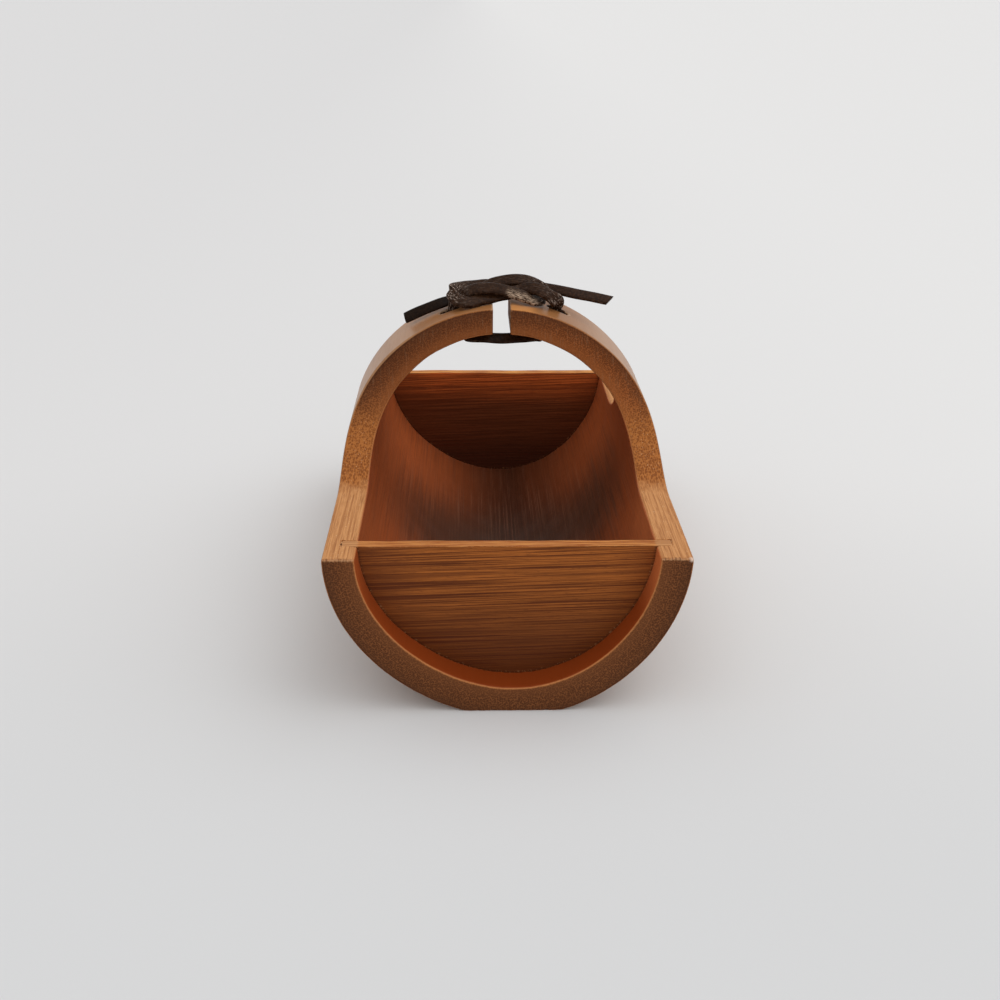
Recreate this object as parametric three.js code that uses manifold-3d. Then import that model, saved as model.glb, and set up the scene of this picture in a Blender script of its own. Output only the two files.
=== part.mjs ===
// A serving boat made from one length of bamboo, in millimetres, +Z up.
//
// The culm is cut down to a trough, and an arch is left standing at mid-length as the handle.
// A half-moon board is let into a groove near each end and closes the trough.
// A flat leather lace goes through two slots in the arch and is tied over its crown.
// The culm runs along Y. The origin is under the middle of the part, on the flat it rests on.

import * as THREE from 'three';
import Module from 'manifold-3d';
import { mergeVertices } from 'three/addons/utils/BufferGeometryUtils.js';

// Culm: its skin is a circle with three slow waves, each with a depth and a turn in radians,
// and its underside is planed flat
const culm_length = 200;
const culm_radius = 57.5;
const planed_depth = 2.3;
const oval_depth = 0.38;
const oval_turn = -0.42;
const three_lobe_depth = 0.34;
const three_lobe_turn = 0.825;
const four_lobe_depth = 0.36;
const four_lobe_turn = 0.151;
const wall = 10.5;
const bore_rise = 0.95;

// Rim, level just above the culm's axis, and arch
const rim_rise = 0.8;
const arch_width = 28.4;
const sweep_radius = 38;
const slit_width = 6.3;
const slit_offset = -0.5;

// Boards and their grooves
const board_inset = 9.5;
const board_thickness = 4.2;
const groove_depth = 5;
const clearance = 0.3;

// Lace, and the slots that it goes through
const lace_width = 3.9;
const lace_thickness = 1.3;
const slot_side_play = 0.55;
const slot_end_play = 2.3;
const slot_slip_share = 0.32;

// Fineness of the curved surfaces
const skin_steps = 120;
const sweep_steps = 14;
const slot_end_steps = 6;
const rings_per_row = 3;
const gap_samples = 900;

// Sizes worked out from the ones above
const half_length = culm_length / 2;
const axis_height = culm_radius - planed_depth;
const rim_height = axis_height + rim_rise;
const half_arch = arch_width / 2;
const overrun = wall;
const above_crown = axis_height + culm_radius + overrun;
const slot_length = lace_width + 2 * slot_end_play;
const slot_width = lace_thickness + 2 * slot_side_play;
const groove_width = board_thickness + 2 * clearance;

// The lace's route is given in shares of a step, and the lace is lace_steps_share steps wide
const lace_steps_share = 3.9;
const step = lace_width / lace_steps_share;
const left_slot = { around: -19.4 * step, along: -2.5 * step, slip: slot_slip_share };
const right_slot = { around: 21.5 * step, along: step, slip: -slot_slip_share };
const slot_out_shares = [0.5, -3.5, -7.5];

// Rows of the route: steps around the culm from its crown, along it and out from its round,
// and the direction in which the lace is broad, as x, y and z
const tail_and_hump_shares = [
  [-36.5, 4.6, 3.2, -0.3, 0.62, 0.72],
  [-31.6, 3, 2.8, -0.28, 0.62, 0.74],
  [-26.3, 2, 2.45, -0.24, 0.62, 0.75],
  [-21.1, 1.5, 2.3, -0.2, 0.72, 0.66],
  [-16.75, 2.1, 1.85, -0.15, 0.86, 0.5],
  [-12.75, 0.2, 1.9, 0, 0.86, 0.5],
  [-8.9, 0, 2.5, 0, 0.78, 0.62],
  [-4.45, 1.7, 4.8, 0, 0.74, 0.67],
  [0.25, 2.6, 5.9, 0, 0.74, 0.67],
  [4.25, 3, 6.45, 0, 0.74, 0.67],
  [8.25, 3.2, 6.5, 0, 0.74, 0.67],
  [11.7, 2.5, 5.8, 0.1, 0.6, 0.78],
  [14.1, 1.7, 4.7, 0.35, 0.3, 0.88],
  [14.9, -0.2, 3.3, 0.2, -0.5, 0.84],
  [13.5, -2.8, 2.1, -0.2, 0.6, 0.78],
  [10.7, -4.9, 1.75, 0, 0.88, 0.47],
  [7.65, -5.8, 2.7, 0, 0.8, 0.6],
  [3.2, -5.2, 3.7, 0, 0.74, 0.67],
  [-0.95, -5, 4.6, 0, 0.74, 0.67],
  [-4.85, -4.7, 5.2, 0, 0.74, 0.67],
  [-8.15, -4.4, 5.3, 0, 0.74, 0.67],
  [-10.9, -4, 5, 0.1, 0.7, 0.67],
  [-13.7, -3.2, 3.65, 0.35, 0.5, 0.75],
  [-16.6, -2.4, 2.2, 0.93, 0.05, 0.36],
];
const under_shares = [
  [-18, -2.5, -9.5, 0.92, -0.15, 0.34],
  [-17.95, -2.45, -11, 0.7, -0.7, 0.15],
  [-17.75, -2.35, -12, 0.35, -0.93, -0.1],
  [-17, -2.25, -12.4, 0.1, -0.98, -0.15],
  [-15, -2, -12.9, 0, -0.93, -0.36],
  [-9.2, -1.6, -13.8, 0, -0.78, -0.62],
  [0, -1.2, -14.75, 0, -0.66, -0.75],
  [9.45, -0.5, -14, 0, -0.74, -0.67],
  [16.6, 0.4, -12.8, 0, -0.9, -0.44],
  [18.7, 0.8, -12.6, -0.1, -0.95, -0.3],
  [19.4, 0.9, -11.9, -0.2, -0.97, 0],
  [19.6, 0.95, -11, -0.6, -0.78, 0.15],
  [19.7, 1, -9.5, -0.92, -0.15, 0.34],
];
const wrap_and_tail_shares = [
  [19.6, -2, 2.75, -0.85, -0.2, -0.45],
  [17.1, -5.2, 4.4, -0.45, -0.55, -0.7],
  [13.05, -4.9, 5.75, -0.1, -0.74, -0.67],
  [8.9, -2.4, 5.3, 0, -0.74, -0.67],
  [5.25, -1.2, 3.4, 0, -0.74, -0.67],
  [1.9, -2.6, 2.55, 0, -0.74, -0.67],
  [-1.55, -4.1, 2.2, 0, -0.74, -0.67],
  [-4.85, -5.6, 1.8, 0, -0.82, -0.57],
  [-8, -6.6, 1.75, 0, -0.86, -0.5],
  [-10.4, -8, 1.8, 0, -0.86, -0.5],
  [-13, -8.4, 2.3, 0, -0.8, -0.6],
  [-16, -7.1, 3.9, -0.1, -0.74, -0.67],
  [-17, -2.6, 6.3, -0.2, -0.8, -0.57],
  [-14.9, 1.3, 5.8, -0.1, -0.88, -0.47],
  [-12.2, 3.4, 5.2, 0, -0.88, -0.47],
  [-9, 4.6, 4.5, 0, -0.84, -0.54],
  [-5.25, 5.3, 4.05, 0, -0.74, -0.67],
  [0, 5.8, 3.3, 0, -0.74, -0.67],
  [5.65, 6, 3.6, 0, -0.74, -0.67],
  [11.15, 5.9, 4.35, 0, -0.74, -0.67],
  [15.95, 5.5, 4.9, 0, -0.74, -0.67],
  [20.15, 4, 5.95, 0, -0.74, -0.67],
  [25.25, 3, 7.25, 0, -0.74, -0.67],
  [30.35, 3, 9.05, 0, -0.74, -0.67],
  [35.7, 3, 11.45, 0, -0.74, -0.67],
];

// The lace's section: its corners as shares of half the width and half the thickness
const section_shares = [
  [1, -0.5], [1, 0.5], [0.85, 1], [-0.85, 1],
  [-1, 0.5], [-1, -0.5], [-0.85, -1], [0.85, -1],
];

const wasm = await Module();
wasm.setup();

// Radius of the culm's skin and bore at an angle from +X towards +Z
function skin(angle) {
  return culm_radius
    + oval_depth * Math.cos(2 * (angle - oval_turn))
    + three_lobe_depth * Math.cos(3 * (angle - three_lobe_turn))
    + four_lobe_depth * Math.cos(4 * (angle - four_lobe_turn));
}

function bore(angle) {
  return skin(angle) - wall + bore_rise * Math.sin(angle);
}

// Closed outline around the culm's axis, for a radius that changes with the angle
function outline(radius_at) {
  const points = [];
  for (let i = 0; i < skin_steps; i += 1) {
    const angle = 2 * Math.PI * i / skin_steps;
    const radius = radius_at(angle);
    points.push(new THREE.Vector2(radius * Math.cos(angle), axis_height + radius * Math.sin(angle)));
  }
  return points;
}

// The culm's skin reaches further on one side, and section_x brings the two sides level
const skin_sides = outline(skin).map((point) => point.x);
const section_x = -(Math.min(...skin_sides) + Math.max(...skin_sides)) / 2;

// A section drawn in X and Z, extruded along Y from one place to another
function along_culm(shape, from, to) {
  const geometry = new THREE.ExtrudeGeometry(shape, { depth: to - from, bevelEnabled: false });
  geometry.rotateX(Math.PI / 2);
  geometry.translate(section_x, to, 0);
  return geometry;
}

function solid(geometry) {
  const bare = geometry.clone();
  bare.deleteAttribute('normal');
  bare.deleteAttribute('uv');
  const merged = mergeVertices(bare);
  return new wasm.Manifold(new wasm.Mesh({
    numProp: 3,
    vertProperties: new Float32Array(merged.attributes.position.array),
    triVerts: new Uint32Array(merged.index.array),
  }));
}

function geometry_of(body) {
  const mesh = body.getMesh();
  const geometry = new THREE.BufferGeometry();
  geometry.setAttribute('position', new THREE.BufferAttribute(mesh.vertProperties, 3));
  geometry.setIndex(new THREE.BufferAttribute(mesh.triVerts, 1));
  geometry.computeVertexNormals();
  return geometry;
}

// Side view of the culm: flat base, rim, and the arch with a concave sweep on each side
function side_view() {
  const foot = half_arch + sweep_radius;
  const sweep_height = rim_height + sweep_radius;
  const view = new THREE.Shape();
  view.moveTo(-half_length - overrun, 0);
  view.lineTo(half_length + overrun, 0);
  view.lineTo(half_length + overrun, rim_height);
  view.absarc(foot, sweep_height, sweep_radius, -Math.PI / 2, -Math.PI, true);
  view.lineTo(half_arch, above_crown);
  view.lineTo(-half_arch, above_crown);
  view.absarc(-foot, sweep_height, sweep_radius, 0, -Math.PI / 2, true);
  view.lineTo(-half_length - overrun, rim_height);
  view.closePath();
  return view;
}

// The side view is drawn in Y and Z and extruded along X, wider than the culm
function side_cut() {
  const width = 2 * (culm_radius + overrun);
  const geometry = new THREE.ExtrudeGeometry(side_view(), {
    depth: width,
    bevelEnabled: false,
    curveSegments: sweep_steps,
  });
  const y_z_to_x_y_z = new THREE.Matrix4().set(0, 0, 1, 0, 1, 0, 0, 0, 0, 1, 0, 0, 0, 0, 0, 1);
  geometry.applyMatrix4(y_z_to_x_y_z);
  geometry.translate(-width / 2, 0, 0);
  return solid(geometry);
}

// Where the boards' middles are along the culm
const board_place = half_length - board_inset - board_thickness / 2;

function groove_cut(place) {
  const shape = new THREE.Shape(outline((angle) => bore(angle) + groove_depth));
  return solid(along_culm(shape, place - groove_width / 2, place + groove_width / 2));
}

function slit_cut() {
  const height = wall + 2 * overrun;
  const geometry = new THREE.BoxGeometry(slit_width, arch_width + 2 * overrun, height);
  geometry.translate(section_x + slit_offset, 0, above_crown - height / 2);
  return solid(geometry);
}

// A slot with round ends, cut square through the arch
function slot_cut(slot) {
  const half_run = slot_length / 2 - slot_width / 2;
  const shape = new THREE.Shape();
  shape.absarc(half_run, 0, slot_width / 2, -Math.PI / 2, Math.PI / 2, false);
  shape.absarc(-half_run, 0, slot_width / 2, Math.PI / 2, 3 * Math.PI / 2, false);
  const geometry = new THREE.ExtrudeGeometry(shape, {
    depth: wall + 2 * overrun,
    bevelEnabled: false,
    curveSegments: slot_end_steps,
  });
  geometry.translate(0, 0, culm_radius - wall - overrun);
  geometry.rotateY(slot.around / culm_radius);
  geometry.translate(section_x, slot.along, axis_height);
  return solid(geometry);
}

function culm_body() {
  const ring = new THREE.Shape(outline(skin));
  ring.holes.push(new THREE.Path(outline(bore)));
  let body = solid(along_culm(ring, -half_length, half_length)).intersect(side_cut());
  for (const place of [-board_place, board_place]) {
    body = body.subtract(groove_cut(place));
  }
  for (const slot of [left_slot, right_slot]) {
    body = body.subtract(slot_cut(slot));
  }
  return geometry_of(body.subtract(slit_cut()));
}

// A half-moon board that fills its groove but for the clearance, with its top level with the rim
function board(place) {
  const shape = new THREE.Shape(outline((angle) => bore(angle) + groove_depth - clearance));
  const half = board_thickness / 2;
  const round = solid(along_culm(shape, place - half, place + half));
  return geometry_of(round.intersect(side_cut()));
}

// A place around the culm, and a row's place and broad direction
function around_culm(angle, radius, along) {
  return new THREE.Vector3(
    section_x + radius * Math.sin(angle),
    along,
    axis_height + radius * Math.cos(angle),
  );
}

function route_point(row) {
  const [around, along, out] = row.slice(0, 3).map((steps) => steps * step);
  return {
    place: around_culm(around / culm_radius, culm_radius + out, along),
    broad: new THREE.Vector3(...row.slice(3)).normalize(),
  };
}

// In a slot the lace lies along the slot, slipped towards the crown
function slot_points(slot, outs, side) {
  const angle = slot.around / culm_radius;
  const across = new THREE.Vector3(Math.cos(angle), 0, -Math.sin(angle));
  return outs.map((out) => ({
    place: around_culm(angle, culm_radius + out * step, slot.along)
      .addScaledVector(across, slot.slip * lace_width),
    broad: across.clone().multiplyScalar(side),
  }));
}

function lace_points() {
  return [
    ...tail_and_hump_shares.map(route_point),
    ...slot_points(left_slot, slot_out_shares, 1),
    ...under_shares.map(route_point),
    ...slot_points(right_slot, [...slot_out_shares].reverse(), -1),
    ...wrap_and_tail_shares.map(route_point),
  ];
}

// Frames along the lace: place, direction along it, broad direction and face direction
function lace_frames(count) {
  const points = lace_points();
  const route = new THREE.CatmullRomCurve3(points.map((point) => point.place), false, 'centripetal');
  const broads = new THREE.CatmullRomCurve3(points.map((point) => point.broad), false, 'catmullrom');
  const frames = [];
  for (let i = 0; i <= count; i += 1) {
    const place = route.getPoint(i / count);
    const ahead = route.getTangent(i / count);
    const broad = broads.getPoint(i / count);
    broad.addScaledVector(ahead, -broad.dot(ahead)).normalize();
    frames.push({ place, ahead, broad, face: new THREE.Vector3().crossVectors(broad, ahead) });
  }
  return frames;
}

function section_points(frame) {
  return section_shares.map(([wide, thick]) => frame.place.clone()
    .addScaledVector(frame.broad, wide * lace_width / 2)
    .addScaledVector(frame.face, thick * lace_thickness / 2));
}

// The lace is one closed tube: rings of eight points, joined, with a fan over each end
function lace_body() {
  const frames = lace_frames(rings_per_row * (lace_points().length - 1));
  const sides = section_shares.length;
  const positions = [];
  const indices = [];
  for (const frame of frames) {
    for (const point of section_points(frame)) {
      positions.push(point.x, point.y, point.z);
    }
  }
  for (let ring = 0; ring < frames.length - 1; ring += 1) {
    for (let i = 0; i < sides; i += 1) {
      const next = (i + 1) % sides;
      const near = ring * sides;
      const far = near + sides;
      indices.push(near + i, far + i, near + next);
      indices.push(near + next, far + i, far + next);
    }
  }
  const last = (frames.length - 1) * sides;
  for (let i = 1; i < sides - 1; i += 1) {
    indices.push(0, i, i + 1);
    indices.push(last, last + i + 1, last + i);
  }
  const geometry = new THREE.BufferGeometry();
  geometry.setAttribute('position', new THREE.Float32BufferAttribute(positions, 3));
  geometry.setIndex(indices);
  geometry.computeVertexNormals();
  return geometry;
}

// Least gap from the lace to itself: the edge points of each section against the slab
// of lace at each other frame that is over two and a half widths away along the lace
function lace_gap(frames, lengths) {
  const apart = 2.5 * lace_width;
  const slab = culm_length / gap_samples;
  let least = Infinity;
  for (let i = 0; i < frames.length; i += 2) {
    const edge = section_points(frames[i]);
    for (let j = 0; j < frames.length; j += 1) {
      const near = frames[i].place.distanceTo(frames[j].place) < 2 * lace_width;
      if (near && Math.abs(lengths[i] - lengths[j]) > apart) {
        for (const point of edge) {
          const offset = point.clone().sub(frames[j].place);
          const wide = Math.max(Math.abs(offset.dot(frames[j].broad)) - lace_width / 2, 0);
          const thick = Math.max(Math.abs(offset.dot(frames[j].face)) - lace_thickness / 2, 0);
          const ahead = Math.max(Math.abs(offset.dot(frames[j].ahead)) - slab, 0);
          least = Math.min(least, Math.hypot(wide, thick, ahead));
        }
      }
    }
  }
  return least;
}

function print_lace_sizes() {
  const frames = lace_frames(gap_samples);
  const lengths = [0];
  for (let i = 1; i < frames.length; i += 1) {
    lengths.push(lengths[i - 1] + frames[i].place.distanceTo(frames[i - 1].place));
  }
  console.log(`lace: ${lengths[lengths.length - 1].toFixed(1)} mm long`);
  console.log(`lace: least gap to itself ${lace_gap(frames, lengths).toFixed(2)} mm`);
}

function piece(name, geometry, color, roughness) {
  const material = new THREE.MeshStandardMaterial({ color, roughness, metalness: 0 });
  const mesh = new THREE.Mesh(geometry, material);
  mesh.name = name;
  return mesh;
}

print_lace_sizes();

const serving_boat = new THREE.Group();
serving_boat.name = 'bamboo_serving_boat';
serving_boat.add(piece('bamboo_culm', culm_body(), 0x9c6a42, 0.5));
serving_boat.add(piece('front_board', board(-board_place), 0x8c5530, 0.6));
serving_boat.add(piece('rear_board', board(board_place), 0x8c5530, 0.6));
serving_boat.add(piece('leather_lace', lace_body(), 0x2a1a14, 0.45));

export default serving_boat;
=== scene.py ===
"""A serving boat cut from one length of bamboo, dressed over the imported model.

Sizes are in millimetres, as in the part's source, and are turned into metres where a mesh or
the camera is placed. The culm runs along Y, and +Z is up.
"""

import math

import bpy
import numpy as np
from mathutils import Matrix, Vector


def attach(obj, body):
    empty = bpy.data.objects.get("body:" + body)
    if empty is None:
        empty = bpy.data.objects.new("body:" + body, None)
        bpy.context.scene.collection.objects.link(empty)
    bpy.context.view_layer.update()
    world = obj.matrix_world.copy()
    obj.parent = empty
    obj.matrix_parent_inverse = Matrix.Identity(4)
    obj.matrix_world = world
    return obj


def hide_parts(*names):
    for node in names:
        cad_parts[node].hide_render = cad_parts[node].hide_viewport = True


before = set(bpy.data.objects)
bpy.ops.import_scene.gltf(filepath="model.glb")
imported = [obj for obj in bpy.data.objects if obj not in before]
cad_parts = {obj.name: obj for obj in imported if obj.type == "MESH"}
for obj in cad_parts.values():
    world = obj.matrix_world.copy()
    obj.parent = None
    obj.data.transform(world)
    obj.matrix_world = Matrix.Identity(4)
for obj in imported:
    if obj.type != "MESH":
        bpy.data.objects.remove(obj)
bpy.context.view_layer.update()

MM = 0.001

# Culm, as in the part's source. Its skin is a circle with three slow waves, each given by its
# count around the culm, its depth and its turn
CULM_LENGTH = 200
CULM_RADIUS = 57.5
PLANED_DEPTH = 2.3
SKIN_WAVES = ((2, 0.38, -0.42), (3, 0.34, 0.825), (4, 0.36, 0.151))
SKIN_STEPS = 120
WALL = 10.5
BORE_RISE = 0.95
RIM_RISE = 0.8
ARCH_WIDTH = 28.4
SWEEP_RADIUS = 38
SLIT_WIDTH = 6.3
SLIT_OFFSET = -0.5
BOARD_INSET = 9.5
BOARD_THICKNESS = 4.2
GROOVE_DEPTH = 5
LACE_WIDTH = 3.9
SLOT_SLIP_SHARE = 0.32

HALF_LENGTH = CULM_LENGTH / 2
AXIS_HEIGHT = CULM_RADIUS - PLANED_DEPTH
RIM_HEIGHT = AXIS_HEIGHT + RIM_RISE
HALF_ARCH = ARCH_WIDTH / 2
SWEEP_FOOT = HALF_ARCH + SWEEP_RADIUS
SWEEP_HEIGHT = RIM_HEIGHT + SWEEP_RADIUS
BOARD_PLACE = HALF_LENGTH - BOARD_INSET - BOARD_THICKNESS / 2

# How far each kind of edge is rounded
OUTER_EDGE = 1.0
INNER_EDGE = 1.2
CUT_EDGE = 0.5
GROOVE_EDGE = 0.05
BOARD_EDGE = 0.22

# Unevenness that tools and growth leave: the depth and pitch of each wander
END_TRIM = 0.12
END_WANDERS = ((0.07, 9), (0.05, 2.6))
RIM_WANDER = (0.07, 7)
BORE_WANDER = (0.1, 16)
BORE_WANDER_TURN = 2

# The arch's left shoulder stands out a little more than the rest of the skin
SHOULDER_RISE = 0.45
SHOULDER_TURN = 2.45
SHOULDER_REACH = 0.3

# Boards: their ends reach into the rim and lie flush with it, and their tops waver
BOARD_BITE = 0.12
BOARD_END_DROP = 0.03
BOARD_TOP_DROP = 0.1
BOARD_TOP_WAVER = (0.1, 5.1, 12.7)
REAR_BOARD_RISE = 0.3

# Meshes over a distance: the size of a cell, the room round a piece, the side of a block of
# grid points that is sampled at once, and how the vertices settle on the surface
CULM_CELL = 0.5
BOARD_CELL = 0.35
MARGIN = 2
BLOCK = 14
SMALL_SHIFT = 0.02
SETTLE_STEPS = 4
LEAST_SLOPE = 0.25
CORNERS = [(i, j, k) for i in (0, 1) for j in (0, 1) for k in (0, 1)]

# Mesh of the lace: steps to each stretch of the route, points round it, and the rings that
# close its ends
LACE_STEPS = 10
LACE_SIDES = 20
CAP_SHARES = (0.8, 0.4)

# Lace: its section, and how that and its wear change along the run
DRESSED_WIDTH = 4.2
DRESSED_THICKNESS = 1.55
WIDTH_POWER = 0.45
THICKNESS_POWER = 0.75
WIDTH_WAVER = (0.03, 2.3, 7.1)
KNOT_RUNS = ((22, 96), (152, 232))
KNOT_FADE = 8
KNOT_BROADER = 0.12
KNOT_THICKER = 0.36
BROAD_BEND = 0.2
BROAD_BEND_RUN = 158
BROAD_BEND_REACH = 4
LAST_CUT_SLANT = -0.6
LAST_CUT_REACH = 3
CRACKED = ((58, 5), (96, 4), (157, 5.5), (206, 6))
FRAYED = (64, 77)
FRAYED_FADE = 2
FRAYED_MIDDLE = 0.6
FRAYED_SIDE = 0.5

# Route of the lace, as in the part's source. Each row gives steps around the culm from its
# crown, along it and out from its round, and then the direction in which the lace is broad
STEPS_PER_WIDTH = 3.9
STEP = LACE_WIDTH / STEPS_PER_WIDTH
LEFT_SLOT = {"around": -19.4 * STEP, "along": -2.5 * STEP, "slip": SLOT_SLIP_SHARE}
RIGHT_SLOT = {"around": 21.5 * STEP, "along": STEP, "slip": -SLOT_SLIP_SHARE}
SLOT_OUT = [0.5, -3.5, -7.5]
SLOT_DRESSED_WIDTH = 4.4
SLOT_DRESSED_RUN = 4.3
TAIL_AND_HUMP = [
    (-36.5, 4.6, 3.2, -0.3, 0.62, 0.72),
    (-31.6, 3, 2.8, -0.28, 0.62, 0.74),
    (-26.3, 2, 2.45, -0.24, 0.62, 0.75),
    (-21.1, 1.5, 2.3, -0.2, 0.72, 0.66),
    (-16.75, 2.1, 1.85, -0.15, 0.86, 0.5),
    (-12.75, 0.2, 1.9, 0, 0.86, 0.5),
    (-8.9, 0, 2.5, 0, 0.78, 0.62),
    (-4.45, 1.7, 4.8, 0, 0.74, 0.67),
    (0.25, 2.6, 5.9, 0, 0.74, 0.67),
    (4.25, 3, 6.45, 0, 0.74, 0.67),
    (8.25, 3.2, 6.5, 0, 0.74, 0.67),
    (11.7, 2.5, 5.8, 0.1, 0.6, 0.78),
    (14.1, 1.7, 4.7, 0.35, 0.3, 0.88),
    (14.9, -0.2, 3.3, 0.2, -0.5, 0.84),
    (13.5, -2.8, 2.1, -0.2, 0.6, 0.78),
    (10.7, -4.9, 1.75, 0, 0.88, 0.47),
    (7.65, -5.8, 2.7, 0, 0.8, 0.6),
    (3.2, -5.2, 3.7, 0, 0.74, 0.67),
    (-0.95, -5, 4.6, 0, 0.74, 0.67),
    (-4.85, -4.7, 5.2, 0, 0.74, 0.67),
    (-8.15, -4.4, 5.3, 0, 0.74, 0.67),
    (-10.9, -4, 5, 0.1, 0.7, 0.67),
    (-13.7, -3.2, 3.65, 0.35, 0.5, 0.75),
    (-16.6, -2.4, 2.2, 0.93, 0.05, 0.36),
]
UNDER = [
    (-18, -2.5, -9.5, 0.92, -0.15, 0.34),
    (-17.95, -2.45, -11, 0.7, -0.7, 0.15),
    (-17.75, -2.35, -12, 0.35, -0.93, -0.1),
    (-17, -2.25, -12.4, 0.1, -0.98, -0.15),
    (-15, -2, -12.9, 0, -0.93, -0.36),
    (-9.2, -1.6, -13.8, 0, -0.78, -0.62),
    (0, -1.2, -14.75, 0, -0.66, -0.75),
    (9.45, -0.5, -14, 0, -0.74, -0.67),
    (16.6, 0.4, -12.8, 0, -0.9, -0.44),
    (18.7, 0.8, -12.6, -0.1, -0.95, -0.3),
    (19.4, 0.9, -11.9, -0.2, -0.97, 0),
    (19.6, 0.95, -11, -0.6, -0.78, 0.15),
    (19.7, 1, -9.5, -0.92, -0.15, 0.34),
]
WRAP_AND_TAIL = [
    (19.6, -2, 2.75, -0.85, -0.2, -0.45),
    (17.1, -5.2, 4.4, -0.45, -0.55, -0.7),
    (13.05, -4.9, 5.75, -0.1, -0.74, -0.67),
    (8.9, -2.4, 5.3, 0, -0.74, -0.67),
    (5.25, -1.2, 3.4, 0, -0.74, -0.67),
    (1.9, -2.6, 2.55, 0, -0.74, -0.67),
    (-1.55, -4.1, 2.2, 0, -0.74, -0.67),
    (-4.85, -5.6, 1.8, 0, -0.82, -0.57),
    (-8, -6.6, 1.75, 0, -0.86, -0.5),
    (-10.4, -8, 1.8, 0, -0.86, -0.5),
    (-13, -8.4, 2.3, 0, -0.8, -0.6),
    (-16, -7.1, 3.9, -0.1, -0.74, -0.67),
    (-17, -2.6, 6.3, -0.2, -0.8, -0.57),
    (-14.9, 1.3, 5.8, -0.1, -0.88, -0.47),
    (-12.2, 3.4, 5.2, 0, -0.88, -0.47),
    (-9, 4.6, 4.5, 0, -0.84, -0.54),
    (-5.25, 5.3, 4.05, 0, -0.74, -0.67),
    (0, 5.8, 3.3, 0, -0.74, -0.67),
    (5.65, 6, 3.6, 0, -0.74, -0.67),
    (11.15, 5.9, 4.35, 0, -0.74, -0.67),
    (15.95, 5.5, 4.9, 0, -0.74, -0.67),
    (20.15, 4, 5.95, 0, -0.74, -0.67),
    (25.25, 3, 7.25, 0, -0.74, -0.67),
    (30.35, 3, 9.05, 0, -0.74, -0.67),
    (35.7, 3, 11.45, 0, -0.74, -0.67),
]


def skin(angle):
    """Radius of the culm's skin at an angle from +X towards +Z."""
    return CULM_RADIUS + sum(
        depth * np.cos(count * (angle - turn)) for count, depth, turn in SKIN_WAVES
    )


def bore(angle):
    """Radius of the bore, whose axis is a little above the skin's."""
    return skin(angle) - WALL + BORE_RISE * np.sin(angle)


# The skin reaches further on one side, and SECTION_X brings the two sides level
all_round = 2 * np.pi * np.arange(SKIN_STEPS) / SKIN_STEPS
skin_sides = skin(all_round) * np.cos(all_round)
SECTION_X = -(skin_sides.min() + skin_sides.max()) / 2

# Camera: its turns are in radians
CAMERA_PLACE = (-12.547 + SECTION_X, -420.08, 219.92)
CAMERA_FALL = 0.42173
CAMERA_YAW = 0.02965
CAMERA_ROLL = 0.00993
LENS = 41.741
SENSOR = 36


def add_object(name, data):
    made = bpy.data.objects.new(name, data)
    bpy.context.scene.collection.objects.link(made)
    return made


def make_camera():
    ahead = Vector((
        math.sin(CAMERA_YAW) * math.cos(CAMERA_FALL),
        math.cos(CAMERA_YAW) * math.cos(CAMERA_FALL),
        -math.sin(CAMERA_FALL),
    ))
    level = Vector((math.cos(CAMERA_YAW), -math.sin(CAMERA_YAW), 0))
    above = level.cross(ahead)
    right = level * math.cos(CAMERA_ROLL) + above * math.sin(CAMERA_ROLL)
    up = above * math.cos(CAMERA_ROLL) - level * math.sin(CAMERA_ROLL)
    camera = add_object("camera", bpy.data.cameras.new("camera"))
    turn = Matrix((right, up, -ahead)).transposed().to_4x4()
    camera.matrix_world = Matrix.Translation(Vector(CAMERA_PLACE) * MM) @ turn
    camera.data.lens = LENS
    camera.data.sensor_width = SENSOR
    bpy.context.scene.camera = camera


def smooth_max(a, b, reach):
    """The larger of two distances, with the edge where they meet rounded over that reach."""
    near = np.maximum(reach - np.abs(a - b), 0) / reach
    return np.maximum(a, b) + near * near * reach / 4


def waves(x, y, z, pitch, turn=0.0):
    """A slow, even wandering between about -1 and 1. The factors keep its waves out of step."""
    k = 2 * np.pi / pitch
    return (
        np.sin(k * (x + 0.31 * z) + 1.3 + turn) * np.sin(k * (0.83 * y - 0.2 * x) + 0.4)
        + np.sin(k * (0.71 * z - 0.43 * y) + 2.1 + turn) * np.sin(k * 0.57 * (x + y) + 5.0)
    ) / 1.6


def waver(along, depth, short, long):
    """An uneven wave along one line."""
    return depth * np.sin(along / short) * np.sin(along / long + 1)


def hump(value, middle, reach):
    """1 at the middle, falling smoothly to 0 well past the reach."""
    return np.exp(-((value - middle) / reach) ** 2)


def polar(x, z):
    """Distance from the culm's axis, and angle from +X towards +Z."""
    across, rise = x - SECTION_X, z - AXIS_HEIGHT
    return np.hypot(across, rise), np.arctan2(rise, across)


def side_distance(y, z):
    """How far a point is outside the side view: rim, and the arch with its concave sweeps."""
    beside = np.abs(y)
    sweep = SWEEP_RADIUS - np.hypot(beside - SWEEP_FOOT, z - SWEEP_HEIGHT)
    return np.where(
        z >= SWEEP_HEIGHT,
        beside - HALF_ARCH,
        np.where(beside >= SWEEP_FOOT, z - RIM_HEIGHT, sweep),
    )


def rim_distance(x, y, z):
    """Past the side view, which a hand has cut not quite smooth."""
    depth, pitch = RIM_WANDER
    return side_distance(y, z) + depth * waves(x, y, z, pitch)


def ends_distance(x, y, z):
    """Past the two sawn ends, which aren't quite smooth."""
    past = np.abs(y) - HALF_LENGTH + END_TRIM
    for depth, pitch in END_WANDERS:
        past = past + depth * waves(x, y, z, pitch)
    return past


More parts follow.
